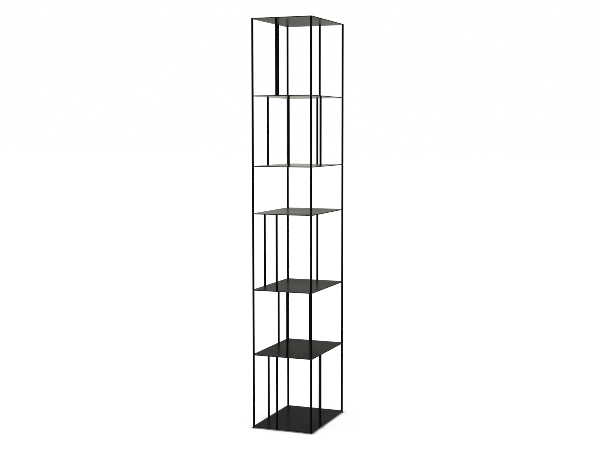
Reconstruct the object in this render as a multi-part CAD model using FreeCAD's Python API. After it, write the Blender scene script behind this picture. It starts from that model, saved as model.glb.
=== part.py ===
import FreeCAD, Part
import os

# Spine bookshelf: seven thin steel shelves carried by four corner posts of round bar, with slim
# divider rods that stand between two shelves along the edges of a bay.
# Millimetres. +Z is up, X is the width and Y the depth, and the front is at -Y.
# The origin lies on the floor under the middle of the shelves. Bays and shelves count from the top.

# Shelves: flat steel plate
shelf_width = 300.0
shelf_depth = 440.0
shelf_thickness = 4.0
shelf_edge_break = 0.3

# Clear height of each bay, from the top one down
bay_1_height = 350.0
bay_2_height = 322.0
bay_3_height = 217.0
bay_4_height = 355.0
bay_5_height = 304.0
bay_6_height = 342.0

# Posts and divider rods: round steel bar, flush with the edges of the shelves
post_diameter = 10.0
rod_diameter = 10.0
bar_end_break = 0.4

# Places of the rods' axes. Across: from a side edge, on the front and back. Along: from the
# front or back edge, on the two sides.
across_near = 124.0
across_middle = 163.0
across_wide = 185.0
along_near = 128.0
along_short = 142.0
along_middle = 184.0

# Countersunk screws that hold the rods, and the tops of the posts
screw_diameter = 4.0
screw_length = 16.0
screw_head_diameter = 8.0
screw_tip_break = 0.6
screw_key_width = 2.5
screw_key_depth = 1.2

# Headless studs that join one post to the next through a shelf
stud_diameter = 5.0
stud_engagement = 12.0
stud_end_break = 0.5

# Round glides under the bottom shelf, each moulded on a threaded stem
glide_height = 3.0
glide_stem_seat = 1.8
glide_edge_break = 0.5

# Clearances
screw_hole_clearance = 0.2
stud_hole_clearance = 0.15
thread_clearance = 0.05
tapped_hole_runout = 1.0

# Derived sizes
screw_radius = screw_diameter / 2
screw_head_radius = screw_head_diameter / 2
screw_head_height = screw_head_radius - screw_radius
stud_radius = stud_diameter / 2
post_radius = post_diameter / 2
rod_radius = rod_diameter / 2
post_x = shelf_width / 2 - post_radius
post_y = shelf_depth / 2 - post_radius
rod_x = shelf_width / 2 - rod_radius
rod_y = shelf_depth / 2 - rod_radius
screw_hole_depth = screw_length - shelf_thickness + tapped_hole_runout
stud_hole_depth = stud_engagement + tapped_hole_runout

UP = FreeCAD.Vector(0, 0, 1)
DOWN = FreeCAD.Vector(0, 0, -1)
TOP_BAY = 1
BAY_HEIGHTS = dict(enumerate([
    bay_1_height,
    bay_2_height,
    bay_3_height,
    bay_4_height,
    bay_5_height,
    bay_6_height,
], start=TOP_BAY))
BOTTOM_SHELF = len(BAY_HEIGHTS) + 1

CORNERS = {
    "front_left": (-post_x, -post_y),
    "front_right": (post_x, -post_y),
    "back_right": (post_x, post_y),
    "back_left": (-post_x, post_y),
}

# The rods of each bay: the edge, and the axis's distance from the left edge on the front and
# back, or from the front edge on the sides. Bay 3 is open all round.
ROD_PLACES = {
    1: {
        "front": across_near,
        "left": shelf_depth - along_near,
        "back": shelf_width - across_near,
    },
    2: {
        "front": across_wide,
        "left": along_middle,
        "back": across_middle,
        "right": along_near,
    },
    4: {
        "front": across_near,
        "left": along_short,
        "back": across_middle,
    },
    5: {
        "front": shelf_width - across_near,
        "left": shelf_depth - along_near,
        "back": across_near,
    },
    6: {
        "front": across_near,
        "left": along_middle,
        "back": shelf_width - across_near,
        "right": along_near,
    },
}


def shelf_heights():
    """Height of the underside of each shelf, worked out from the floor up."""
    heights = {BOTTOM_SHELF: glide_height}
    for bay in sorted(BAY_HEIGHTS, reverse=True):
        heights[bay] = heights[bay + 1] + shelf_thickness + BAY_HEIGHTS[bay]
    return heights


SHELF_Z = shelf_heights()


def bay_floor(bay):
    """Height of the top face of the shelf under a bay."""
    return SHELF_Z[bay + 1] + shelf_thickness


def rod_axis(edge, distance):
    """Place of a rod's axis in plan."""
    if edge == "front":
        return distance - shelf_width / 2, -rod_y
    if edge == "back":
        return distance - shelf_width / 2, rod_y
    if edge == "left":
        return -rod_x, distance - shelf_depth / 2
    return rod_x, distance - shelf_depth / 2


def rod_axes(bay):
    """Places of the rods that stand in a bay."""
    return [rod_axis(edge, distance) for edge, distance in ROD_PLACES.get(bay, {}).items()]


def at(x, y, z):
    return FreeCAD.Vector(x, y, z)


def turned(points):
    """Solid of revolution about Z from the (radius, height) points of its half section."""
    outline = [at(radius, 0, height) for radius, height in points]
    face = Part.Face(Part.makePolygon(outline + outline[:1]))
    return face.revolve(at(0, 0, 0), UP, 360)


def round_bar(radius, length, end_break):
    """Upright bar with chamfered ends, standing at the origin."""
    return turned([
        (0, 0),
        (radius - end_break, 0),
        (radius, end_break),
        (radius, length - end_break),
        (radius - end_break, length),
        (0, length),
    ])


def moved(shape, x, y, z):
    copy = shape.copy()
    copy.translate(at(x, y, z))
    return copy


def countersink(x, y, z, direction):
    """Tool for a screw hole whose countersunk mouth lies at height z and opens in direction."""
    seat = at(x, y, z - direction.z * screw_head_height)
    mouth = Part.makeCone(screw_radius, screw_head_radius, screw_head_height, seat, direction)
    start = at(x, y, z)
    hole_radius = screw_radius + screw_hole_clearance
    return mouth.fuse(Part.makeCylinder(hole_radius, shelf_thickness, start, -direction))


def shelf_blank():
    """Plate with round corners that follow the posts, and broken edges."""
    corner = at(-shelf_width / 2, -shelf_depth / 2, 0)
    plate = Part.makeBox(shelf_width, shelf_depth, shelf_thickness, corner)
    uprights = [edge for edge in plate.Edges if abs(edge.tangentAt(edge.FirstParameter).z) > 0.5]
    plate = plate.makeFillet(post_radius, uprights)
    rims = [edge for edge in plate.Edges if edge.BoundBox.ZLength < shelf_thickness / 2]
    return plate.makeChamfer(shelf_edge_break, rims)


def shelf(level, blank):
    """One shelf, bored for the posts at its corners and for the rods above and below it."""
    bottom = SHELF_Z[level]
    top = bottom + shelf_thickness
    tools = []
    for x, y in CORNERS.values():
        if level == TOP_BAY:
            tools.append(countersink(x, y, top, UP))
        else:
            hole_radius = stud_radius + stud_hole_clearance
            tools.append(Part.makeCylinder(hole_radius, shelf_thickness, at(x, y, bottom), UP))
    for x, y in rod_axes(level):
        tools.append(countersink(x, y, top, UP))
    for x, y in rod_axes(level - 1):
        tools.append(countersink(x, y, bottom, DOWN))
    return moved(blank, 0, 0, bottom).cut(tools)


def post(bay, x, y):
    """Length of corner post between two shelves, tapped at both ends."""
    length = BAY_HEIGHTS[bay]
    bar = round_bar(post_radius, length, bar_end_break)
    foot_hole = Part.makeCylinder(stud_radius + thread_clearance, stud_hole_depth)
    if bay == TOP_BAY:
        head_radius, head_depth = screw_radius + thread_clearance, screw_hole_depth
    else:
        head_radius, head_depth = stud_radius + thread_clearance, stud_hole_depth
    head_hole = Part.makeCylinder(head_radius, head_depth, at(0, 0, length), DOWN)
    return moved(bar.cut([foot_hole, head_hole]), x, y, bay_floor(bay))


def rod(bay, x, y):
    """Divider rod between two shelves, tapped at both ends."""
    length = BAY_HEIGHTS[bay]
    bar = round_bar(rod_radius, length, bar_end_break)
    hole_radius = screw_radius + thread_clearance
    foot_hole = Part.makeCylinder(hole_radius, screw_hole_depth)
    head_hole = Part.makeCylinder(hole_radius, screw_hole_depth, at(0, 0, length), DOWN)
    return moved(bar.cut([foot_hole, head_hole]), x, y, bay_floor(bay))


def hexagon(across_flats):
    """Hexagon in the XY plane, for the socket of a key."""
    spoke = at(across_flats / 3 ** 0.5, 0, 0)
    corners = [FreeCAD.Rotation(UP, angle).multVec(spoke) for angle in range(0, 360, 60)]
    return Part.Face(Part.makePolygon(corners + corners[:1]))


def screw():
    """Countersunk socket screw that hangs from the origin, its head's flat face at height 0."""
    body = turned([
        (0, 0),
        (screw_head_radius, 0),
        (screw_radius, -screw_head_height),
        (screw_radius, screw_tip_break - screw_length),
        (screw_radius - screw_tip_break, -screw_length),
        (0, -screw_length),
    ])
    return body.cut(hexagon(screw_key_width).extrude(at(0, 0, -screw_key_depth)))




def screws_down(places, z):
    """Screws driven down from the top face of a shelf."""
    return [moved(screw(), x, y, z) for x, y in places]


def screws_up(places, z):
    """Screws driven up from the underside of a shelf."""
    upturned = screw()
    upturned.rotate(at(0, 0, 0), FreeCAD.Vector(1, 0, 0), 180)
    return [moved(upturned, x, y, z) for x, y in places]


def rod_top_screws():
    found = []
    for bay in ROD_PLACES:
        found += screws_down(rod_axes(bay), SHELF_Z[bay] + shelf_thickness)
    return Part.makeCompound(found)


def rod_foot_screws():
    found = []
    for bay in ROD_PLACES:
        found += screws_up(rod_axes(bay), SHELF_Z[bay + 1])
    return Part.makeCompound(found)


def post_screws():
    return Part.makeCompound(screws_down(CORNERS.values(), SHELF_Z[TOP_BAY] + shelf_thickness))


def post_studs():
    """Studs through the corners of every shelf between the top and the bottom one."""
    length = shelf_thickness + 2 * stud_engagement
    stud = round_bar(stud_radius, length, stud_end_break)
    found = []
    for level in range(TOP_BAY + 1, BOTTOM_SHELF):
        for x, y in CORNERS.values():
            found.append(moved(stud, x, y, SHELF_Z[level] - stud_engagement))
    return Part.makeCompound(found)


def glide(x, y):
    """Round glide as wide as the post above it, with a blind seat for its stem."""
    disc = turned([
        (0, 0),
        (post_radius - glide_edge_break, 0),
        (post_radius, glide_edge_break),
        (post_radius, glide_height),
        (0, glide_height),
    ])
    seat = Part.makeCylinder(stud_radius, glide_stem_seat, at(0, 0, glide_height), DOWN)
    return moved(disc.cut(seat), x, y, 0)


def glide_stems():
    """Threaded stems that run from the glides through the bottom shelf into the posts."""
    length = glide_stem_seat + shelf_thickness + stud_engagement
    stem = round_bar(stud_radius, length, stud_end_break)
    foot = glide_height - glide_stem_seat
    return Part.makeCompound([moved(stem, x, y, foot) for x, y in CORNERS.values()])


def all_parts():
    """Every node of the bookshelf by name."""
    found = {}
    blank = shelf_blank()
    for level in sorted(SHELF_Z):
        found[f"shelf_{level}"] = shelf(level, blank)
    for bay in BAY_HEIGHTS:
        for corner, (x, y) in CORNERS.items():
            found[f"post_{bay}_{corner}"] = post(bay, x, y)
    for bay, places in ROD_PLACES.items():
        for edge, distance in places.items():
            found[f"rod_{bay}_{edge}"] = rod(bay, *rod_axis(edge, distance))
    for corner, (x, y) in CORNERS.items():
        found[f"glide_{corner}"] = glide(x, y)
    found["glide_stems"] = glide_stems()
    found["post_studs"] = post_studs()
    found["post_screws"] = post_screws()
    found["rod_top_screws"] = rod_top_screws()
    found["rod_foot_screws"] = rod_foot_screws()
    return found


os.makedirs("parts", exist_ok=True)
for node, shape in all_parts().items():
    shape.exportStep(f"parts/{node}.step")
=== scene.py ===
"""Spine bookshelf: seven thin steel plates on slim corner posts, with divider rods in the bays.

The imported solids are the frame. Places and lengths are read from them, and the rest is worked out
from the driving sizes of each class. Metres: +Z is up, X the width and Y the depth, and the front
is at -Y. Bays and plates count from the top.
"""

import sys

import logging
import math
from dataclasses import dataclass, field
from enum import Enum
from typing import Callable, ClassVar, Iterable, Sequence

import bmesh
import bpy
from mathutils import Matrix, Vector


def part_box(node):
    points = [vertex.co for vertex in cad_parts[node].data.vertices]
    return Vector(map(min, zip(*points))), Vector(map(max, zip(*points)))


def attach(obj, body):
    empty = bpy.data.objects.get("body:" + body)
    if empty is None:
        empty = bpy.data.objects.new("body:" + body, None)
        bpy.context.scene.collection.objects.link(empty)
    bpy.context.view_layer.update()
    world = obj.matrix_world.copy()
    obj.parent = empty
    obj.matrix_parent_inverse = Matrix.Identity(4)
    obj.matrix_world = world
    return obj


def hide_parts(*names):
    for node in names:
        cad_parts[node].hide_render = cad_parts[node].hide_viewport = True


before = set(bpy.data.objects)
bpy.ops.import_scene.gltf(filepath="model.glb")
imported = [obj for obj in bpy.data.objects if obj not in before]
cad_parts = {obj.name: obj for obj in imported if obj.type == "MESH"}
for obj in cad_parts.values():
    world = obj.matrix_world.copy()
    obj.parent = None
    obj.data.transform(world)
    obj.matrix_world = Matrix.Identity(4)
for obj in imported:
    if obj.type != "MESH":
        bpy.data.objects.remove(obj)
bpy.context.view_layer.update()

MM = 0.001
NEAR = 0.02 * MM      # two places closer than this are the same
WELD = 0.002 * MM     # points closer than this are merged after a cut
OVER = 0.5 * MM       # how far a cutting tool stands over the face that it starts from
THROUGH = 1.0 * MM    # how far it goes past the far face
LEVEL = 0.99          # cosine from which a face counts as level
DECIMALS = 5          # of a metre, kept of a place that is read from the solids
PLATES = range(1, 8)
BAYS = range(1, 7)
ROOT = "root"
LOG = logging.getLogger("spine_bookshelf")

Colour = tuple[float, float, float, float]
FaceTest = Callable[[Vector, Vector], bool]
EdgeTest = Callable[[Vector, Vector], bool]
PointTest = Callable[[Vector], bool]


class Slot(Enum):
    """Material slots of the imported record."""

    SHELF_STEEL = "shelf_steel"
    BAR_STEEL = "bar_steel"
    SCREW_BLACK = "screw_black"
    STUD_ZINC = "stud_zinc"
    GLIDE_NYLON = "glide_nylon"


class Corner(Enum):
    """Corners of the plan, where the posts stand."""

    FRONT_LEFT = "front_left"
    FRONT_RIGHT = "front_right"
    BACK_RIGHT = "back_right"
    BACK_LEFT = "back_left"


class Edge(Enum):
    """Edges of a plate, where the divider rods stand."""

    FRONT = "front"
    LEFT = "left"
    BACK = "back"
    RIGHT = "right"


class Facing(Enum):
    """The way a screw's head looks."""

    UP = 1
    DOWN = -1


# ---------------------------------------------------------------------------------------------
# Node trees and finishes
# ---------------------------------------------------------------------------------------------


class Recipe:
    """Node tree of one material or of the world, with short ways to add and link its nodes.

    Attributes:
        NOISE_RANGE: the numbers between which nearly all of a noise lies.
        BLEND_RANGE: the numbers between which two colours blend over it.
    """

    NOISE_RANGE = (0.3, 0.7)
    BLEND_RANGE = (0.35, 0.65)

    def __init__(self, tree: bpy.types.NodeTree) -> None:
        """Empties the tree that is to be filled."""
        tree.nodes.clear()
        self.tree = tree

    def add(self, kind: str, inputs: dict[str | int, object], **settings: object) -> bpy.types.Node:
        """Adds a node.

        Args:
            kind: the node's type.
            inputs: a value, or the output socket to link from, for each input by name or place.
            settings: the node's own properties.

        Returns:
            The new node.
        """
        node = self.tree.nodes.new(kind)
        for name, value in settings.items():
            setattr(node, name, value)
        for socket, value in inputs.items():
            if isinstance(value, bpy.types.NodeSocket):
                self.tree.links.new(value, node.inputs[socket])
            else:
                node.inputs[socket].default_value = value
        return node

    def math(
        self,
        operation: str,
        first: bpy.types.NodeSocket | float,
        second: bpy.types.NodeSocket | float,
    ) -> bpy.types.NodeSocket:
        """Adds a sum, product, power or greater of two numbers, by the node's operation."""
        return self.add("ShaderNodeMath", {0: first, 1: second}, operation=operation).outputs[0]

    def position(self) -> bpy.types.NodeSocket:
        """Object coordinates, in metres, as the pieces' objects all sit at the origin."""
        return self.add("ShaderNodeTexCoord", {}).outputs["Object"]

    def noise(
        self, position: bpy.types.NodeSocket, grain: float, detail: float
    ) -> bpy.types.NodeSocket:
        """Adds a noise from 0 to 1, with patches of a width in metres and finer octaves over it."""
        inputs = {"Vector": position, "Scale": 1 / grain, "Detail": detail}
        return self.add("ShaderNodeTexNoise", inputs).outputs["Fac"]

    def spread(
        self, value: bpy.types.NodeSocket, middle: float, swing: float
    ) -> bpy.types.NodeSocket:
        """Maps a noise to a number that swings about a middle value.

        Args:
            value: noise from 0 to 1.
            middle: value at the noise's middle.
            swing: the furthest that the result goes from the middle.

        Returns:
            The mapped number.
        """
        lowest, highest = self.NOISE_RANGE
        inputs = {
            "Value": value,
            "From Min": lowest,
            "From Max": highest,
            "To Min": middle - swing,
            "To Max": middle + swing,
        }
        return self.add("ShaderNodeMapRange", inputs).outputs["Result"]

    def blend(
        self, amount: bpy.types.NodeSocket, first: Colour, second: Colour
    ) -> bpy.types.NodeSocket:
        """Blends two colours by a noise.

        Args:
            amount: noise from 0 to 1.
            first: colour at the low end.
            second: colour at the high end.

        Returns:
            The blended colour.
        """
        ramp = self.add("ShaderNodeValToRGB", {"Fac": amount})
        low, high = ramp.color_ramp.elements
        low.position, high.position = self.BLEND_RANGE
        low.color, high.color = first, second
        return ramp.outputs["Color"]

    def bump(
        self,
        height: bpy.types.NodeSocket,
        depth: float,
        normal: bpy.types.NodeSocket | None = None,
    ) -> bpy.types.NodeSocket:
        """Adds fine relief.

        Args:
            height: the relief, from 0 to 1.
            depth: its depth, in metres.
            normal: the normal that it is laid over.

        Returns:
            The disturbed normal.
        """
        inputs = {"Height": height, "Distance": depth, "Strength": 1.0}
        if normal is not None:
            inputs["Normal"] = normal
        return self.add("ShaderNodeBump", inputs).outputs["Normal"]


def new_material(name: str) -> tuple[bpy.types.Material, Recipe]:
    """Starts a node material.

    Args:
        name: the material's name.

    Returns:
        The material and its empty recipe.
    """
    material = bpy.data.materials.new(name)
    material.use_nodes = True
    return material, Recipe(material.node_tree)


@dataclass(frozen=True)
class PowderCoat:
    """Matt black powder coat: a faint satin seen square on, and a gloss at a low angle.

    Attributes:
        name: the material's name.
        deep: the darker of the two blacks that it drifts between.
        pale: the lighter of the two.
        ior: refractive index of the skin seen square on.
        slant_ior: refractive index aslant, where its own roughness masks most of the satin.
        slant_start: turn away from the eye at which the masking starts, from 0 to 1.
        slant_end: turn at which it is complete.
        roughness: roughness of the skin.
        gloss: colour of the gloss.
        gloss_edge: colour of the gloss at the lowest angle.
        gloss_roughness: roughness of the gloss.
        skim: share of the gloss that comes only at the lowest angle.
        skim_fall: how fast it goes as the surface turns to the eye.
        satin: share of the gloss that holds on at a higher angle.
        satin_fall: how fast it goes as the surface turns to the eye.
        painted_light_drift: how far the gloss share wanders over a plate, as a share of itself;
            a random drift, laid so that the fourth plate is lighter towards the front left: painted light.
        painted_light_drift_size: width of one patch of that drift.
        painted_light_drift_shift: where the drift lies, across, along and up, chosen for that painted
            light.
        painted_light_drift_scale: how far it is squeezed each way, and mirrored where negative.
        cloud: how far the roughness wanders.
        cloud_size: width of one patch of the cloud.
        peel_size: width of one dimple of the orange peel.
        peel_depth: depth of the dimples.
        grain_size: width of the fine grain on the dimples.
        grain_depth: depth of the fine grain.
    """

    name: str
    deep: Colour
    pale: Colour
    ior: float = 1.2
    slant_ior: float = 1.02
    slant_start: float = 0.35
    slant_end: float = 0.7
    roughness: float = 0.48
    gloss: Colour = (0.997, 1.0, 0.915, 1)
    gloss_edge: Colour = (0.997, 1.0, 0.94, 1)
    gloss_roughness: float = 0.25
    skim: float = 0.53
    skim_fall: float = 19.0
    satin: float = 0.085
    satin_fall: float = 6.0
    painted_light_drift: float = 0.22
    painted_light_drift_size: float = 300 * MM
    painted_light_drift_shift: tuple[float, float, float] = (1.93, 1.49, 0.8872)
    painted_light_drift_scale: tuple[float, float, float] = (1, 1, -0.7)
    cloud: float = 0.03
    cloud_size: float = 90 * MM
    peel_size: float = 1.6 * MM
    peel_depth: float = 0.045 * MM
    grain_size: float = 0.35 * MM
    grain_depth: float = 0.009 * MM

    def material(self) -> bpy.types.Material:
        """Builds the material.

        Returns:
            The material.
        """
        material, recipe = new_material(self.name)
        position = recipe.position()
        cloud = recipe.noise(position, self.cloud_size, detail=3)
        peel = recipe.noise(position, self.peel_size, detail=1)
        grain = recipe.noise(position, self.grain_size, detail=0)
        relief = recipe.bump(grain, self.grain_depth, recipe.bump(peel, self.peel_depth))
        open_skin = self._skin(recipe, self.ior, cloud, relief)
        masked_skin = self._skin(recipe, self.slant_ior, cloud, relief)
        inputs = {
            "Base Color": self.gloss,
            "Specular Tint": self.gloss_edge,
            "Metallic": 1.0,
            "Roughness": recipe.spread(cloud, self.gloss_roughness, self.cloud),
            "Normal": relief,
        }
        gloss = recipe.add("ShaderNodeBsdfPrincipled", inputs)
        turn = recipe.add("ShaderNodeLayerWeight", {"Normal": relief}).outputs["Facing"]
        inputs = {0: self._masked_share(recipe, turn), 1: open_skin, 2: masked_skin}
        skin = recipe.add("ShaderNodeMixShader", inputs)
        share = self._gloss_share(recipe, turn, position)
        inputs = {0: share, 1: skin.outputs["Shader"], 2: gloss.outputs["BSDF"]}
        coat = recipe.add("ShaderNodeMixShader", inputs)
        recipe.add("ShaderNodeOutputMaterial", {"Surface": coat.outputs["Shader"]})
        return material

    def _skin(
        self,
        recipe: Recipe,
        ior: float,
        cloud: bpy.types.NodeSocket,
        relief: bpy.types.NodeSocket,
    ) -> bpy.types.NodeSocket:
        """Adds the black skin, at one of its two indices.

        Args:
            recipe: the material's nodes.
            ior: its refractive index.
            cloud: noise that its colour and roughness follow.
            relief: its disturbed normal.

        Returns:
            The skin's shader.
        """
        inputs = {
            "Base Color": recipe.blend(cloud, self.deep, self.pale),
            "Roughness": recipe.spread(cloud, self.roughness, self.cloud),
            "IOR": ior,
            "Normal": relief,
        }
        return recipe.add("ShaderNodeBsdfPrincipled", inputs).outputs["BSDF"]

    def _masked_share(self, recipe: Recipe, turn: bpy.types.NodeSocket) -> bpy.types.NodeSocket:
        """Share of the masked skin, which is whole well before the gloss comes in.

        Args:
            recipe: the material's nodes.
            turn: how far the surface is turned from the eye.

        Returns:
            The share, from 0 to 1.
        """
        inputs = {"Value": turn, "From Min": self.slant_start, "From Max": self.slant_end}
        ease = recipe.add("ShaderNodeMapRange", inputs, interpolation_type="SMOOTHSTEP")
        return ease.outputs["Result"]

    def _gloss_share(
        self, recipe: Recipe, turn: bpy.types.NodeSocket, position: bpy.types.NodeSocket
    ) -> bpy.types.NodeSocket:
        """Share of the gloss: hardly any seen square on, and most at a low angle.

        Args:
            recipe: the material's nodes.
            turn: how far the surface is turned from the eye.
            position: where to read the drift of gloss that carries the painted light.

        Returns:
            The share, from 0 to 1.
        """
        skim = recipe.math("MULTIPLY", recipe.math("POWER", turn, self.skim_fall), self.skim)
        satin = recipe.math("MULTIPLY", recipe.math("POWER", turn, self.satin_fall), self.satin)
        # Painted light: a slow noise of gloss, placed and mirrored so that the fourth plate comes out
        # lighter towards the front left, as if lit from there.
        inputs = {"Vector": position, "Location": self.painted_light_drift_shift, "Scale": self.painted_light_drift_scale}
        laid = recipe.add("ShaderNodeMapping", inputs).outputs["Vector"]
        painted_light_drift = recipe.spread(recipe.noise(laid, self.painted_light_drift_size, detail=1), 1.0, self.painted_light_drift)
        return recipe.math("MULTIPLY", recipe.math("ADD", skim, satin), painted_light_drift)


@dataclass(frozen=True)
class PatchySkin:
    """Skin whose tone, roughness and fine relief follow one pattern of small patches.

    Attributes:
        name: the material's name.
        first: tone at the pattern's low end.
        second: tone at its high end.
        metal: how far metal shows, from 0 to 1.
        roughness: roughness at the pattern's middle.
        swing: how far the roughness wanders.
        ior: refractive index.
        patch_size: width of one patch.
        patch_detail: how many finer octaves lie over the patches.
        relief: depth of the patches.
    """

    name: str
    first: Colour
    second: Colour
    metal: float
    roughness: float
    swing: float
    ior: float
    patch_size: float
    patch_detail: int
    relief: float

    def material(self) -> bpy.types.Material:
        """Builds the material.

        Returns:
            The material.
        """
        material, recipe = new_material(self.name)
        patches = recipe.noise(recipe.position(), self.patch_size, self.patch_detail)
        inputs = {
            "Base Color": recipe.blend(patches, self.first, self.second),
            "Metallic": self.metal,
            "Roughness": recipe.spread(patches, self.roughness, self.swing),
            "IOR": self.ior,
            "Normal": recipe.bump(patches, self.relief),
        }
        skin = recipe.add("ShaderNodeBsdfPrincipled", inputs)
        recipe.add("ShaderNodeOutputMaterial", {"Surface": skin.outputs["BSDF"]})
        return material


@dataclass(frozen=True)
class BlackOxide(PatchySkin):
    """Oiled black oxide on a steel screw: dark metal, a little browner and duller in patches."""

    name: str = "black_oxide"
    first: Colour = (0.016, 0.016, 0.017, 1)
    second: Colour = (0.034, 0.031, 0.029, 1)
    metal: float = 0.2
    roughness: float = 0.42
    swing: float = 0.08
    ior: float = 1.08
    patch_size: float = 1.5 * MM
    patch_detail: int = 4
    relief: float = 0.004 * MM


@dataclass(frozen=True)
class ZincPlate(PatchySkin):
    """Bright zinc on the studs: pale metal with small spangles of blue and straw."""

    name: str = "zinc_plate"
    first: Colour = (0.58, 0.61, 0.64, 1)
    second: Colour = (0.68, 0.65, 0.58, 1)
    metal: float = 1.0
    roughness: float = 0.3
    swing: float = 0.06
    ior: float = 1.5
    patch_size: float = 1.2 * MM
    patch_detail: int = 2
    relief: float = 0.002 * MM


@dataclass(frozen=True)
class MouldedNylon(PatchySkin):
    """Black moulded nylon with the fine spark texture of its mould."""

    name: str = "moulded_nylon"
    first: Colour = (0.006, 0.006, 0.006, 1)
    second: Colour = (0.010, 0.010, 0.010, 1)
    metal: float = 0.0
    roughness: float = 0.62
    swing: float = 0.05
    ior: float = 1.2
    patch_size: float = 0.3 * MM
    patch_detail: int = 1
    relief: float = 0.012 * MM


# ---------------------------------------------------------------------------------------------
# The bench: edit mode operators on one piece at a time
# ---------------------------------------------------------------------------------------------


class Workpiece:
    """A mesh on the bench. Its steps are Blender's own operators, on faces and edges picked by place."""

    def __init__(self, obj: bpy.types.Object) -> None:
        """Takes a mesh object in hand."""
        self.obj = obj

    # Stock

    @classmethod
    def round_stock(
        cls, name: str, radius: float, bottom: float, top: float, sides: int
    ) -> "Workpiece":
        """Cuts a length of round stock that stands on the Z axis.

        Args:
            name: the piece's name.
            radius: its radius.
            bottom: height of its lower end.
            top: height of its upper end.
            sides: how many flats stand for the round.

        Returns:
            The new piece.
        """
        leave_edit_mode()
        middle = (0, 0, (bottom + top) / 2)
        bpy.ops.mesh.primitive_cylinder_add(
            vertices=sides, radius=radius, depth=top - bottom, location=middle
        )
        return cls(bpy.context.object).called(name).settled()

    @classmethod
    def flat_stock(cls, name: str, low: Sequence[float], high: Sequence[float]) -> "Workpiece":
        """Cuts a block of flat stock.

        Args:
            name: the piece's name.
            low: its lowest corner.
            high: its highest corner.

        Returns:
            The new piece.
        """
        leave_edit_mode()
        corner, opposite = Vector(low), Vector(high)
        bpy.ops.mesh.primitive_cube_add(
            size=1, location=(corner + opposite) / 2, scale=opposite - corner
        )
        return cls(bpy.context.object).called(name).settled()

    def copy(self, name: str) -> "Workpiece":
        """A copy with a mesh of its own.

        Args:
            name: the copy's name.

        Returns:
            The copy, in the same place.
        """
        self.hold()
        bpy.ops.object.duplicate(linked=False)
        return Workpiece(bpy.context.object).called(name)

    # Holding

    def called(self, name: str) -> "Workpiece":
        """Names the object and its mesh.

        Args:
            name: the new name.

        Returns:
            The piece itself.
        """
        self.obj.name = name
        self.obj.data.name = name
        return self

    def hold(self) -> None:
        """Makes this the only selected object, in object mode."""
        leave_edit_mode()
        bpy.ops.object.select_all(action="DESELECT")
        self.obj.select_set(True)
        bpy.context.view_layer.objects.active = self.obj

    def settled(self) -> "Workpiece":
        """Puts the place into the mesh, so that the object sits at the origin.

        Returns:
            The piece itself.
        """
        self.hold()
        bpy.ops.object.transform_apply(location=True, rotation=True, scale=True)
        return self

    def moved(self, x: float, y: float, z: float) -> "Workpiece":
        """Moves the piece.

        Args:
            x: the way across.
            y: the way along.
            z: the way up.

        Returns:
            The piece itself.
        """
        self.hold()
        bpy.ops.transform.translate(value=(x, y, z))
        return self.settled()

    def turned_over(self) -> "Workpiece":
        """Turns the piece half round about the X axis, so that what looked up looks down.

        Returns:
            The piece itself.
        """
        self.hold()
        bpy.ops.transform.rotate(value=math.pi, orient_axis="X", center_override=(0, 0, 0))
        return self.settled()

    def joined(self, others: Iterable["Workpiece"]) -> "Workpiece":
        """Joins other pieces to this one, as separate shells of one mesh.

        Args:
            others: the pieces to take in.

        Returns:
            The piece itself.
        """
        rest = list(others)
        self.hold()
        for other in rest:
            other.obj.select_set(True)
        if rest:
            bpy.ops.object.join()
        return self

    def scrapped(self) -> None:
        """Takes the piece off the bench."""
        leave_edit_mode()
        bpy.data.objects.remove(self.obj, do_unlink=True)

    # Picking

    def pick_faces(self, test: FaceTest) -> "Workpiece":
        """Selects the faces that pass a test, and nothing else.

        Args:
            test: takes a face's centre and normal.

        Returns:
            The piece itself.
        """
        mesh = self._opened("FACE")
        for face in mesh.faces:
            face.select_set(test(face.calc_center_median(), face.normal))
        return self._picked()

    def pick_edges(self, test: EdgeTest) -> "Workpiece":
        """Selects the edges that pass a test, and nothing else.

        Args:
            test: takes the places of an edge's two ends.

        Returns:
            The piece itself.
        """
        mesh = self._opened("EDGE")
        for edge in mesh.edges:
            edge.select_set(test(edge.verts[0].co, edge.verts[1].co))
        return self._picked()

    def pick_points(self, test: PointTest) -> "Workpiece":
        """Selects the points that pass a test, and nothing else.

        Args:
            test: takes a point's place.

        Returns:
            The piece itself.
        """
        mesh = self._opened("VERT")
        for point in mesh.verts:
            point.select_set(test(point.co))
        mesh.select_flush_mode()
        return self._picked()

    def _opened(self, kind: str) -> bmesh.types.BMesh:
        """Opens the mesh in edit mode, with nothing selected, to pick parts of it.

        Args:
            kind: the kind of part to be picked: VERT, EDGE or FACE.

        Returns:
            The open mesh.
        """
        if bpy.context.mode != "EDIT_MESH" or bpy.context.object is not self.obj:
            self.hold()
            bpy.ops.object.mode_set(mode="EDIT")
        bpy.ops.mesh.select_mode(type=kind)
        bpy.ops.mesh.select_all(action="DESELECT")
        return bmesh.from_edit_mesh(self.obj.data)

    def _picked(self) -> "Workpiece":
        """Hands the selection over to the operators."""
        bmesh.update_edit_mesh(self.obj.data)
        return self

    # Shaping what is picked

    def bevelled(self, width: float, segments: int) -> "Workpiece":
        """Rounds the picked edges to a radius, with so many flats for the round."""
        bpy.ops.mesh.bevel(offset=width, segments=segments, profile=0.5, affect="EDGES")
        return self

    def inset(self, margin: float) -> "Workpiece":
        """Draws a smaller outline inside the picked face, and picks it."""
        bpy.ops.mesh.inset(thickness=margin, depth=0)
        return self

    def drawn(self, z: float, widening: float = 1.0) -> "Workpiece":
        """Extrudes the picked face along Z and widens it about the Z axis.

        Args:
            z: how far it goes, down where it is negative.
            widening: the new width over the old one.

        Returns:
            The piece itself.
        """
        bpy.ops.mesh.extrude_region_move(TRANSFORM_OT_translate={"value": (0, 0, z)})
        if widening != 1.0:
            bpy.ops.transform.resize(value=(widening, widening, 1), center_override=(0, 0, 0))
        return self

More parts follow.
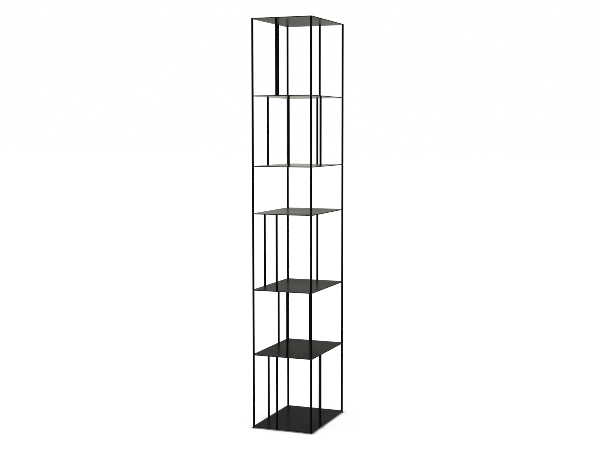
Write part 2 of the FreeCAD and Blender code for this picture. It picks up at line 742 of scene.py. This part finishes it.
    def threaded(self, thread: "Thread", bottom: float, top: float) -> "Workpiece":
        """Cuts a right-hand thread into a round length about the Z axis.

        The length is ringed, and each point of a ring goes inwards by its place on the helix.

        Args:
            thread: the thread.
            bottom: height at which the plain length starts.
            top: height at which it ends.

        Returns:
            The piece itself.
        """
        ends = {round(bottom / NEAR), round(top / NEAR)}
        self.pick_edges(lambda a, b: {round(a.z / NEAR), round(b.z / NEAR)} == ends)
        bpy.ops.mesh.subdivide(number_cuts=thread.rings(top - bottom) - 1)
        slack = 0.5 / thread.sides
        for step in range(1, thread.sides + 1):
            share = step / thread.sides

            def cut(point: Vector) -> bool:
                """True for the inner points of the length that go in by this share."""
                inner = bottom + NEAR < point.z < top - NEAR
                return inner and abs(thread.share(point) - share) < slack

            shrink = 1 - share * thread.depth / thread.radius
            self.pick_points(cut)
            bpy.ops.transform.resize(value=(shrink, shrink, 1), center_override=(0, 0, 0))
        return self

    # Finishing

    def cut_by(self, tool: "Workpiece") -> "Workpiece":
        """Takes the shape of a tool out of the piece, and scraps the tool.

        Args:
            tool: the shape to take out.

        Returns:
            The piece itself.
        """
        self.hold()
        cut = self.obj.modifiers.new("cut", "BOOLEAN")
        cut.operation = "DIFFERENCE"
        cut.solver = "EXACT"
        cut.object = tool.obj
        bpy.ops.object.modifier_apply(modifier=cut.name)
        tool.scrapped()
        self.pick_points(lambda point: True)
        bpy.ops.mesh.remove_doubles(threshold=WELD)
        return self

    def shaded(self, angle: float = 40.0) -> "Workpiece":
        """Shades rounds smooth and keeps flats flat.

        Args:
            angle: edges sharper than this stay sharp, in degrees.

        Returns:
            The piece itself.
        """
        self.hold()
        bpy.ops.object.shade_smooth_by_angle(angle=math.radians(angle))
        weigh = self.obj.modifiers.new("flats", "WEIGHTED_NORMAL")
        weigh.keep_sharp = True
        bpy.ops.object.modifier_apply(modifier=weigh.name)
        return self

    def dressed(
        self, material: bpy.types.Material, slot: Slot, nodes: Sequence[str]
    ) -> bpy.types.Object:
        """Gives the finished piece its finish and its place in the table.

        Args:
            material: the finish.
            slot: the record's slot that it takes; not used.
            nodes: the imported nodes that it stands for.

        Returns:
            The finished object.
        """
        leave_edit_mode()
        self.obj.data.materials.clear()
        self.obj.data.materials.append(material)
        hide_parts(*nodes)
        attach(self.obj, ROOT)
        LOG.info("%s stands for %s, %d faces", self.obj.name, ", ".join(nodes), len(self.obj.data.polygons))
        return self.obj


def leave_edit_mode() -> None:
    """Goes back to object mode."""
    if bpy.context.mode != "OBJECT":
        bpy.ops.object.mode_set(mode="OBJECT")


def at_height(z: float) -> EdgeTest:
    """Test for edges that lie flat at a height."""
    return lambda a, b: abs(a.z - z) < NEAR and abs(b.z - z) < NEAR


def end_face(z: float) -> FaceTest:
    """Test for a flat face that looks up or down at a height."""
    return lambda centre, normal: abs(centre.z - z) < NEAR and abs(normal.z) > LEVEL


# ---------------------------------------------------------------------------------------------
# The plan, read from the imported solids
# ---------------------------------------------------------------------------------------------


@dataclass(frozen=True)
class Upright:
    """An upright bar's place.

    Attributes:
        node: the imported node.
        x: place of its axis across.
        y: place of its axis along.
        foot: height of its lower end.
        head: height of its upper end.
        radius: its radius.
    """

    node: str
    x: float
    y: float
    foot: float
    head: float
    radius: float

    @classmethod
    def of(cls, node: str) -> "Upright":
        """Reads the place of a packed bar from its box.

        Args:
            node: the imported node.

        Returns:
            The place.
        """
        low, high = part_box(node)
        middle = (low + high) / 2
        radius = max(high.x - low.x, high.y - low.y) / 2
        sizes = (middle.x, middle.y, low.z, high.z, radius)
        return cls(node, *(round(size, DECIMALS) for size in sizes))

    @property
    def length(self) -> float:
        """Length of the bar."""
        return self.head - self.foot


@dataclass(frozen=True)
class Plan:
    """Where the plates, posts and rods of the bookshelf stand.

    Attributes:
        floors: height of the underside of each plate.
        tops: height of the top face of each plate.
        posts: the posts of each bay, by corner.
        rods: the divider rods of each bay, by edge.
    """

    floors: dict[int, float]
    tops: dict[int, float]
    posts: dict[int, dict[Corner, Upright]]
    rods: dict[int, dict[Edge, Upright]]

    @classmethod
    def read(cls) -> "Plan":
        """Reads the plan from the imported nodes.

        Returns:
            The plan.
        """
        boxes = {plate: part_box(f"shelf_{plate}") for plate in PLATES}
        floors = {plate: round(low.z, DECIMALS) for plate, (low, high) in boxes.items()}
        tops = {plate: round(high.z, DECIMALS) for plate, (low, high) in boxes.items()}
        posts = {bay: {c: Upright.of(f"post_{bay}_{c.value}") for c in Corner} for bay in BAYS}
        rods = {}
        for bay in BAYS:
            found = {edge: f"rod_{bay}_{edge.value}" for edge in Edge}
            rods[bay] = {edge: Upright.of(n) for edge, n in found.items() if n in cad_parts}
        return cls(floors, tops, posts, rods)

    @property
    def plate_thickness(self) -> float:
        """Thickness of the plates."""
        return self.tops[1] - self.floors[1]


# ---------------------------------------------------------------------------------------------
# Fixings
# ---------------------------------------------------------------------------------------------


@dataclass(frozen=True)
class Thread:
    """Coarse metric thread.

    Attributes:
        radius: radius over its crests.
        pitch: rise of one turn.
        depth: depth from crest to root.
        sides: how many flats stand for the round.
        rings_per_turn: how many rings of points one turn has.
        SHADE_ANGLE: edges sharper than this stay sharp on a threaded piece, in degrees.
    """

    SHADE_ANGLE: ClassVar[float] = 35.0

    radius: float
    pitch: float
    depth: float
    sides: int = 18
    rings_per_turn: int = 4

    def rings(self, length: float) -> int:
        """Number of rings over a length."""
        return round(self.rings_per_turn * length / self.pitch)

    def share(self, point: Vector) -> float:
        """Share of the depth that a point on the round goes in by: 0 on a crest, 1 at a root."""
        turns = point.z / self.pitch - math.atan2(point.y, point.x) / math.tau
        return 1 - abs(2 * (turns % 1) - 1)


M4 = Thread(radius=2.0 * MM, pitch=0.7 * MM, depth=0.38 * MM, sides=24)
M5 = Thread(radius=2.5 * MM, pitch=0.8 * MM, depth=0.43 * MM)


@dataclass(frozen=True)
class CountersunkScrew:
    """M4 countersunk screw with a hexagon socket, as drawn for the steel plates.

    Attributes:
        thread: its thread.
        head_radius: radius of the head at its flat face.
        length: length over all.
        tip_break: bevel at the tip.
        key_sides: number of the socket's flats.
        key_width: width of the socket across its flats.
        key_depth: depth of the socket.
        key_flare: how far its mouth opens, and how deep that goes.
        key_point: length of the point at its end.
        key_point_end: width of the point's end, over the socket's.
        rim: round at the edge of the head.
        plain: plain length under the head.
        soft_segments: how many flats stand for the bevel and the round.
        seat_sides: how many flats stand for the round of its seat.
    """

    thread: Thread = M4
    head_radius: float = 4.0 * MM
    length: float = 16.0 * MM
    tip_break: float = 0.6 * MM
    key_sides: int = 6
    key_width: float = 2.5 * MM
    key_depth: float = 1.2 * MM
    key_flare: float = 0.1 * MM
    key_point: float = 0.3 * MM
    key_point_end: float = 0.3
    rim: float = 0.15 * MM
    plain: float = 1.4 * MM
    soft_segments: int = 2
    seat_sides: int = 36

    @property
    def head_height(self) -> float:
        """Height of the 90 degree head."""
        return self.head_radius - self.thread.radius

    def model(self, name: str) -> Workpiece:
        """Models the screw, which hangs from the origin with its head's flat face at height 0.

        Args:
            name: the piece's name.

        Returns:
            The screw.
        """
        radius = self.thread.radius
        shoulder = -self.head_height - self.plain
        screw = Workpiece.round_stock(name, radius, -self.length, shoulder, self.thread.sides)
        screw.pick_edges(at_height(-self.length)).bevelled(self.tip_break, self.soft_segments)
        screw.pick_faces(end_face(shoulder)).drawn(self.plain)
        screw.drawn(self.head_height, self.head_radius / radius)
        screw.pick_edges(at_height(0)).bevelled(self.rim, self.soft_segments)
        screw.threaded(self.thread, self.tip_break - self.length, shoulder)
        return screw.cut_by(self._key()).shaded(Thread.SHADE_ANGLE)

    def _key(self) -> Workpiece:
        """Models the tool that cuts the socket, with a flared mouth and a pointed end.

        Returns:
            The tool.
        """
        corner = self.key_width / 2 / math.cos(math.pi / self.key_sides)
        flare = self.key_flare
        key = Workpiece.round_stock("key", corner, -self.key_depth, -flare, self.key_sides)
        key.pick_faces(end_face(-flare)).drawn(2 * flare, (corner + 2 * flare) / corner)
        return key.pick_faces(end_face(-self.key_depth)).drawn(-self.key_point, self.key_point_end)

    def seat(self, plate_thickness: float, clearance: float) -> Workpiece:
        """Tool that cuts the screw's hole and seat, from a face at height 0 down.

        Args:
            plate_thickness: thickness of the plate that it goes through.
            clearance: room round the shank.

        Returns:
            The tool.
        """
        hole = self.thread.radius + clearance
        foot = -plate_thickness - THROUGH
        seat_foot = hole - self.head_radius
        tool = Workpiece.round_stock("seat", hole, foot, seat_foot, self.seat_sides)
        tool.pick_faces(end_face(seat_foot))
        return tool.drawn(OVER - seat_foot, (self.head_radius + OVER) / hole)


@dataclass
class Fixings:
    """Screws, studs and stems that hold the plates, posts, rods and glides together.

    Attributes:
        plan: where everything stands.
        screw: the countersunk screw.
        stud_thread: thread of the studs and stems.
        stud_end_break: bevel at their ends.
        stud_end_segments: how many flats stand for the bevel.
        stud_engagement: length that they go into a bar.
        stem_foot: height of the foot of the stems.
        oxide: finish of the screws.
        zinc: finish of the studs and stems.
    """

    plan: Plan
    oxide: bpy.types.Material
    zinc: bpy.types.Material
    screw: CountersunkScrew = field(default_factory=CountersunkScrew)
    stud_thread: Thread = M5
    stud_end_break: float = 0.5 * MM
    stud_end_segments: int = 1
    stud_engagement: float = 12 * MM
    stem_foot: float = 1.2 * MM

    def build(self) -> None:
        """Builds the five groups of fixings."""
        heads = []
        feet = []
        for bay in BAYS:
            rods = self.plan.rods[bay].values()
            heads += [(rod.x, rod.y, self.plan.tops[bay]) for rod in rods]
            feet += [(rod.x, rod.y, self.plan.floors[bay + 1]) for rod in rods]
        posts = self.plan.posts[1].values()
        closers = [(post.x, post.y, self.plan.tops[1]) for post in posts]
        self._screws("screws_rod_heads", heads, Facing.UP, "rod_top_screws")
        self._screws("screws_rod_feet", feet, Facing.DOWN, "rod_foot_screws")
        self._screws("screws_post_heads", closers, Facing.UP, "post_screws")
        self._studs()
        self._stems()

    def _screws(
        self, name: str, places: Sequence[tuple[float, float, float]], facing: Facing, node: str
    ) -> None:
        """Sets one group of screws.

        Args:
            name: the group's name.
            places: middle of each head's flat face.
            facing: the way that the heads look.
            node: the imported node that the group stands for.
        """
        pattern = self.screw.model(name)
        if facing is Facing.DOWN:
            pattern.turned_over()
        self._spread(pattern, places).dressed(self.oxide, Slot.SCREW_BLACK, [node])

    def _studs(self) -> None:
        """Sets the studs that join one post to the next through each middle plate."""
        places = []
        for plate in PLATES[1:-1]:
            foot = self.plan.floors[plate] - self.stud_engagement
            places += [(post.x, post.y, foot) for post in self.plan.posts[plate].values()]
        shank, end = self.plan.plate_thickness, self.stud_engagement
        stud = self._stud("studs_post_joints", end, shank, end)
        self._spread(stud, places).dressed(self.zinc, Slot.STUD_ZINC, ["post_studs"])

    def _stems(self) -> None:
        """Sets the stems of the glides."""
        lowest = self.plan.posts[BAYS[-1]]
        places = [(post.x, post.y, self.stem_foot) for post in lowest.values()]
        shank = self.plan.tops[PLATES[-1]] - self.stem_foot
        stem = self._stud("stems_glides", 0, shank, self.stud_engagement)
        self._spread(stem, places).dressed(self.zinc, Slot.STUD_ZINC, ["glide_stems"])

    def _stud(self, name: str, lower: float, shank: float, upper: float) -> Workpiece:
        """Models a headless stud that stands at the origin.

        Args:
            name: the piece's name.
            lower: threaded length at its foot.
            shank: plain length between the threads.
            upper: threaded length at its head.

        Returns:
            The stud.
        """
        thread = self.stud_thread
        first, *others = [length for length in (lower, shank, upper) if length]
        stud = Workpiece.round_stock(name, thread.radius, 0, first, thread.sides)
        top = first
        for length in others:
            stud.pick_faces(end_face(top)).drawn(length)
            top += length
        for end in (0, top):
            stud.pick_edges(at_height(end)).bevelled(self.stud_end_break, self.stud_end_segments)
        if lower:
            stud.threaded(thread, self.stud_end_break, lower)
        stud.threaded(thread, top - upper, top - self.stud_end_break)
        return stud.shaded(Thread.SHADE_ANGLE)

    def _spread(
        self, pattern: Workpiece, places: Sequence[tuple[float, float, float]]
    ) -> Workpiece:
        """Copies a fixing from the origin to every place of its group, all as one piece."""
        copies = [pattern.copy("copy").moved(*place) for place in places[1:]]
        return pattern.moved(*places[0]).joined(copies)


# ---------------------------------------------------------------------------------------------
# Plates, bars and glides
# ---------------------------------------------------------------------------------------------


@dataclass
class Plates:
    """The seven plates, with round corners, soft edges and the seats of their fixings.

    Attributes:
        plan: where everything stands.
        coat: finish of the plates.
        screw: the screw whose seats they have.
        corner_segments: how many flats stand for the round of a corner.
        rim_radius: soft edge round the faces.
        rim_segments: how many flats stand for the soft edge.
        screw_clearance: room round a screw's shank.
        stud_hole_radius: radius of the holes for the studs.
        stud_hole_sides: how many flats stand for the round of such a hole.
    """

    plan: Plan
    coat: bpy.types.Material
    screw: CountersunkScrew = field(default_factory=CountersunkScrew)
    corner_segments: int = 10
    rim_radius: float = 0.45 * MM
    rim_segments: int = 3
    screw_clearance: float = 0.2 * MM
    stud_hole_radius: float = 2.65 * MM
    stud_hole_sides: int = 32

    def build(self) -> None:
        """Models one blank, and cuts a copy of it for each level."""
        blank = self._blank()
        for level in PLATES:
            lift = self.plan.floors[level] - self.plan.floors[1]
            plate = blank.copy(f"plate_{level}").moved(0, 0, lift)
            tools = self._tools(level)
            plate.cut_by(tools[0].joined(tools[1:])).shaded()
            plate.dressed(self.coat, Slot.SHELF_STEEL, [f"shelf_{level}"])
        blank.scrapped()

    def _blank(self) -> Workpiece:
        """Models the plate of the top level, with no holes.

        Returns:
            The plate.
        """
        low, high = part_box("shelf_1")
        corner_radius = self.plan.posts[1][Corner.FRONT_LEFT].radius
        blank = Workpiece.flat_stock("plate_blank", low, high)
        blank.pick_edges(lambda a, b: abs(a.z - b.z) > NEAR)
        blank.bevelled(corner_radius, self.corner_segments)
        blank.pick_edges(lambda a, b: abs(a.z - b.z) < NEAR)
        return blank.bevelled(self.rim_radius, self.rim_segments)

    def _tools(self, level: int) -> list[Workpiece]:
        """Tools for all holes of a plate.

        Args:
            level: the plate's level.

        Returns:
            The tools, each in its place.
        """
        low, high = self.plan.floors[level], self.plan.tops[level]
        corners = self.plan.posts[min(level, BAYS[-1])].values()
        if level == PLATES[0]:
            tools = [self._seat(post, high, Facing.UP) for post in corners]
        else:
            tools = [self._stud_hole(post, low, high) for post in corners]
        rods = self.plan.rods
        tools += [self._seat(rod, high, Facing.UP) for rod in rods.get(level, {}).values()]
        tools += [self._seat(rod, low, Facing.DOWN) for rod in rods.get(level - 1, {}).values()]
        return tools

    def _stud_hole(self, post: Upright, low: float, high: float) -> Workpiece:
        """Tool for the hole of one stud.

        Args:
            post: the post whose stud goes through it.
            low: height of the plate's underside.
            high: height of its top face.

        Returns:
            The tool, in its place.
        """
        bottom, top = low - THROUGH, high + THROUGH
        radius = self.stud_hole_radius
        hole = Workpiece.round_stock("hole", radius, bottom, top, self.stud_hole_sides)
        return hole.moved(post.x, post.y, 0)

    def _seat(self, bar: Upright, height: float, facing: Facing) -> Workpiece:
        """Tool for one screw's hole and seat.

        Args:
            bar: the bar that the screw goes into.
            height: height of the face that the head is flush with.
            facing: the way that the head looks.

        Returns:
            The tool, in its place.
        """
        seat = self.screw.seat(self.plan.plate_thickness, self.screw_clearance)
        if facing is Facing.DOWN:
            seat.turned_over()
        return seat.moved(bar.x, bar.y, height)


@dataclass(frozen=True)
class RoundBar:
    """Length of round steel bar with soft ends and a tapped hole in each.

    Attributes:
        radius: radius of the bar.
        length: its length.
        foot_hole: radius and depth of the hole in its foot.
        head_hole: radius and depth of the hole in its head.
        end_break: soft edge at the ends.
        end_segments: how many flats stand for the soft edge.
        cone_depth: depth of the cone at a hole's end, over the hole's radius.
        cone_end: width of the cone's end, over the hole's.
        sides: how many flats stand for the round.
    """

    radius: float
    length: float
    foot_hole: tuple[float, float]
    head_hole: tuple[float, float]
    end_break: float = 0.4 * MM
    end_segments: int = 2
    cone_depth: float = 0.5
    cone_end: float = 0.02
    sides: int = 48

    def model(self, name: str) -> Workpiece:
        """Models the bar, which stands on the origin.

        Args:
            name: the piece's name.

        Returns:
            The bar.
        """
        bar = Workpiece.round_stock(name, self.radius, 0, self.length, self.sides)
        for height, hole, inward in ((0, self.foot_hole, 1), (self.length, self.head_hole, -1)):
            bar.pick_edges(at_height(height)).bevelled(self.end_break, self.end_segments)
            hole_radius, depth = hole
            bar.pick_faces(end_face(height)).inset(self.radius - self.end_break - hole_radius)
            bar.drawn(inward * depth)
            bar.drawn(inward * hole_radius * self.cone_depth, self.cone_end)
        return bar.shaded()


@dataclass
class Bars:
    """The posts and divider rods.

    Attributes:
        plan: where everything stands.
        coat: finish of the bars.
        screw_hole: radius and depth of a hole tapped for a screw.
        stud_hole: radius and depth of a hole tapped for a stud.
    """

    plan: Plan
    coat: bpy.types.Material
    screw_hole: tuple[float, float] = (2.05 * MM, 13 * MM)
    stud_hole: tuple[float, float] = (2.55 * MM, 13 * MM)

    def build(self) -> None:
        """Models one post and one rod for each bay, and copies them to their places."""
        for bay in BAYS:
            head_hole = self.screw_hole if bay == BAYS[0] else self.stud_hole
            posts = {corner.value: post for corner, post in self.plan.posts[bay].items()}
            self._stand(f"upright_{bay}", posts, self.stud_hole, head_hole)
            rods = {edge.value: rod for edge, rod in self.plan.rods[bay].items()}
            self._stand(f"divider_{bay}", rods, self.screw_hole, self.screw_hole)

    def _stand(
        self,
        name: str,
        places: dict[str, Upright],
        foot_hole: tuple[float, float],
        head_hole: tuple[float, float],
    ) -> None:
        """Models one bar and stands a copy of it at each place.

        Args:
            name: start of the pieces' names.
            places: the places, by the end of the pieces' names.
            foot_hole: radius and depth of the hole in the foot.
            head_hole: radius and depth of the hole in the head.
        """
        if not places:
            return
        first = next(iter(places.values()))
        pattern = RoundBar(first.radius, first.length, foot_hole, head_hole).model("bar")
        for place, upright in places.items():
            bar = pattern.copy(f"{name}_{place}").moved(upright.x, upright.y, upright.foot)
            bar.dressed(self.coat, Slot.BAR_STEEL, [upright.node])
        pattern.scrapped()


@dataclass
class Glides:
    """Low nylon glides under the bottom plate, one below each post.

    Attributes:
        plan: where everything stands.
        nylon: finish of the glides.
        sides: how many flats stand for the round.
        foot_round: round at the edge of the foot.
        foot_segments: how many flats stand for that round.
        stem_radius: radius of the stem's seat.
        stem_seat: depth of the stem's seat.
    """

    plan: Plan
    nylon: bpy.types.Material
    sides: int = 48
    foot_round: float = 0.5 * MM
    foot_segments: int = 4
    stem_radius: float = 2.5 * MM
    stem_seat: float = 1.8 * MM

    def build(self) -> None:
        """Models one glide and copies it to the four corners."""
        post = self.plan.posts[BAYS[-1]][Corner.FRONT_LEFT]
        height = self.plan.floors[PLATES[-1]]
        pattern = Workpiece.round_stock("glide", post.radius, 0, height, self.sides)
        pattern.pick_edges(at_height(0)).bevelled(self.foot_round, self.foot_segments)
        pattern.pick_faces(end_face(height)).inset(post.radius - self.stem_radius)
        pattern.drawn(-self.stem_seat)
        pattern.shaded()
        for corner, place in self.plan.posts[BAYS[-1]].items():
            glide = pattern.copy(f"foot_{corner.value}").moved(place.x, place.y, 0)
            glide.dressed(self.nylon, Slot.GLIDE_NYLON, [f"glide_{corner.value}"])
        pattern.scrapped()


# ---------------------------------------------------------------------------------------------
# Studio
# ---------------------------------------------------------------------------------------------


@dataclass(frozen=True)
class Softbox:
    """A large soft lamp.

    Attributes:
        name: the lamp's name.
        place: where it hangs.
        aim: the point that it looks at.
        size: its width and height.
        power: its power in watts.
        tint: colour of its light.
    """

    name: str
    place: tuple[float, float, float]
    aim: tuple[float, float, float]
    size: tuple[float, float]
    power: float
    tint: tuple[float, float, float] = (1, 1, 1)

    def hang(self) -> None:
        """Hangs the lamp."""
        lamp = bpy.data.lights.new(self.name, "AREA")
        lamp.shape = "RECTANGLE"
        lamp.size, lamp.size_y = self.size
        lamp.energy = self.power
        lamp.color = self.tint
        holder = bpy.data.objects.new(self.name, lamp)
        bpy.context.scene.collection.objects.link(holder)
        holder.location = self.place
        away = Vector(self.place) - Vector(self.aim)
        holder.rotation_mode = "QUATERNION"
        holder.rotation_quaternion = away.to_track_quat("Z", "Y")


@dataclass(frozen=True)
class Viewpoint:
    """Camera in front and to the right, a little above the middle of the bookshelf.

    Attributes:
        place: where it stands.
        turn: how far it is turned left of straight along the depth, in degrees.
        dip: how far it looks down, in degrees.
        roll: how far it is rolled, in degrees.
        lens: focal length in millimetres.
        sensor: width of the sensor in millimetres.
        nearest: the nearest that it sees.
        furthest: the furthest that it sees.
    """

    place: tuple[float, float, float] = (1.9409, -4.9004, 1.4005)
    turn: float = 21.552
    dip: float = 4.853
    roll: float = -0.053
    lens: float = 66.03
    sensor: float = 36.0
    nearest: float = 0.1
    furthest: float = 200.0

    def set_up(self) -> None:
        """Stands the camera and makes it the scene's own."""
        data = bpy.data.cameras.new("viewpoint")
        data.lens = self.lens
        data.sensor_width = self.sensor
        data.clip_start, data.clip_end = self.nearest, self.furthest
        camera = bpy.data.objects.new("viewpoint", data)
        bpy.context.scene.collection.objects.link(camera)
        turn = Matrix.Rotation(math.radians(self.turn), 4, "Z")
        dip = Matrix.Rotation(math.radians(90 - self.dip), 4, "X")
        roll = Matrix.Rotation(math.radians(self.roll), 4, "Z")
        camera.matrix_world = Matrix.Translation(self.place) @ turn @ dip @ roll
        bpy.context.scene.camera = camera


@dataclass(frozen=True)
class PaleFloor:
    """Plain white studio floor, with a painted close shadow round whatever stands on it.

    Attributes:
        reach: how far it goes from the middle.
        tone: its colour.
        lift: what is added where it stands as background, so that it meets the surround.
        contact_reach: how far from the object the painted close shadow is looked for.
        contact_open: share of open sky at which the painted shadow ends.
        contact_shut: share of open sky at which it is full.
        contact_dark: how dark the painted shadow is where it is full.
        contact_samples: how many ways it is looked for.
    """

    reach: float = 60.0
    tone: float = 0.5
    lift: float = 0.6
    contact_reach: float = 40 * MM
    contact_open: float = 0.94
    contact_shut: float = 0.75
    contact_dark: float = 0.22
    contact_samples: int = 16

    def lay(self) -> None:
        """Lays the floor at height 0."""
        leave_edit_mode()
        bpy.ops.object.select_all(action="DESELECT")
        bpy.ops.mesh.primitive_plane_add(size=2 * self.reach, location=(0, 0, 0))
        floor = bpy.context.object
        floor.name = "studio_floor"
        material, recipe = new_material("studio_paper")
        # Painted shadow: ambient occlusion darkens the floor's colour and its glow close to the object,
        # over the shadow that the lamps cast.
        painted_shadow = self._painted_contact_shadow(recipe)
        tone = recipe.math("MULTIPLY", painted_shadow, self.tone)
        paper = recipe.add("ShaderNodeBsdfDiffuse", {"Color": tone})
        lift = recipe.math("MULTIPLY", painted_shadow, self.lift)
        lift = recipe.math("MULTIPLY", lift, shows_background(recipe))
        glow = recipe.add("ShaderNodeEmission", {"Strength": lift})
        inputs = {0: paper.outputs["BSDF"], 1: glow.outputs["Emission"]}
        both = recipe.add("ShaderNodeAddShader", inputs)
        recipe.add("ShaderNodeOutputMaterial", {"Surface": both.outputs["Shader"]})
        floor.data.materials.append(material)

    def _painted_contact_shadow(self, recipe: Recipe) -> bpy.types.NodeSocket:
        """Painted shadow: 1 on open floor, down to contact_dark close to what stands on it.

        Args:
            recipe: the floor's nodes.

        Returns:
            The share of the floor's tone that is left.
        """
        inputs = {"Distance": self.contact_reach}
        sky = recipe.add("ShaderNodeAmbientOcclusion", inputs, samples=self.contact_samples)
        inputs = {
            "Value": sky.outputs["AO"],
            "From Min": self.contact_shut,
            "From Max": self.contact_open,
            "To Min": self.contact_dark,
            "To Max": 1.0,
        }
        return recipe.add("ShaderNodeMapRange", inputs).outputs["Result"]


def shows_background(recipe: Recipe) -> bpy.types.NodeSocket:
    """1 for the rays that show the background: those of the camera, of gloss and of glass.

    Args:
        recipe: the nodes of the floor or the surround.

    Returns:
        The number, 0 for all other rays.
    """
    path = recipe.add("ShaderNodeLightPath", {})
    seen = recipe.math("MAXIMUM", path.outputs["Is Camera Ray"], path.outputs["Is Glossy Ray"])
    return recipe.math("MAXIMUM", seen, path.outputs["Is Transmission Ray"])


@dataclass(frozen=True)
class Studio:
    """White studio: a pale floor, a white surround and soft lamps.

    Attributes:
        surround_light: strength of the light from all round.
        surround_tint: colour of that light.
        white: strength of the white that stands behind the object and in its gloss.
        floor: the floor.
        viewpoint: the camera.
        lamps: the lamps.
        pixel_blur: width of the filter that a pixel gathers, kept narrow for the slim bars.
    """

    surround_light: float = 0.9
    surround_tint: Colour = (1.0, 1.0, 1.0, 1)
    white: float = 1.0
    floor: PaleFloor = field(default_factory=PaleFloor)
    viewpoint: Viewpoint = field(default_factory=Viewpoint)
    lamps: tuple[Softbox, ...] = (
        Softbox("top_softbox", place=(0, -0.5, 5.0), aim=(0, 0, 0), size=(3.0, 3.0), power=30),
    )
    pixel_blur: float = 0.7

    def build(self) -> None:
        """Lays the floor, lights the room and stands the camera."""
        self.floor.lay()
        self._surround()
        for lamp in self.lamps:
            lamp.hang()
        self.viewpoint.set_up()
        scene = bpy.context.scene
        scene.view_settings.view_transform = "Standard"
        scene.cycles.filter_width = self.pixel_blur

    def _surround(self) -> None:
        """Sets the light from all round, and the white that stands behind the object."""
        world = bpy.data.worlds.new("studio_surround")
        world.use_nodes = True
        bpy.context.scene.world = world
        recipe = Recipe(world.node_tree)
        inputs = {"Color": self.surround_tint, "Strength": self.surround_light}
        light = recipe.add("ShaderNodeBackground", inputs)
        inputs = {"Color": (1, 1, 1, 1), "Strength": self.white}
        white = recipe.add("ShaderNodeBackground", inputs)
        inputs = {
            0: shows_background(recipe),
            1: light.outputs["Background"],
            2: white.outputs["Background"],
        }
        mix = recipe.add("ShaderNodeMixShader", inputs)
        recipe.add("ShaderNodeOutputWorld", {"Surface": mix.outputs["Shader"]})


def main() -> None:
    """Builds the bookshelf and its studio, in order."""
    logging.basicConfig(level=logging.INFO, stream=sys.stdout, format="%(message)s")
    leave_edit_mode()
    bpy.ops.object.select_all(action="DESELECT")
    plan = Plan.read()
    plate_coat = PowderCoat(
        "plate_powder_coat",
        deep=(0.0062, 0.0062, 0.0059, 1),
        pale=(0.0084, 0.0084, 0.0080, 1),
    )
    bar_coat = PowderCoat(
        "bar_powder_coat",
        deep=(0.0012, 0.0012, 0.0012, 1),
        pale=(0.0020, 0.0020, 0.0020, 1),
        ior=1.1,
    )
    Plates(plan, plate_coat.material()).build()
    Bars(plan, bar_coat.material()).build()
    Glides(plan, MouldedNylon().material()).build()
    Fixings(plan, BlackOxide().material(), ZincPlate().material()).build()
    Studio().build()


if __name__ == "__main__":
    main()
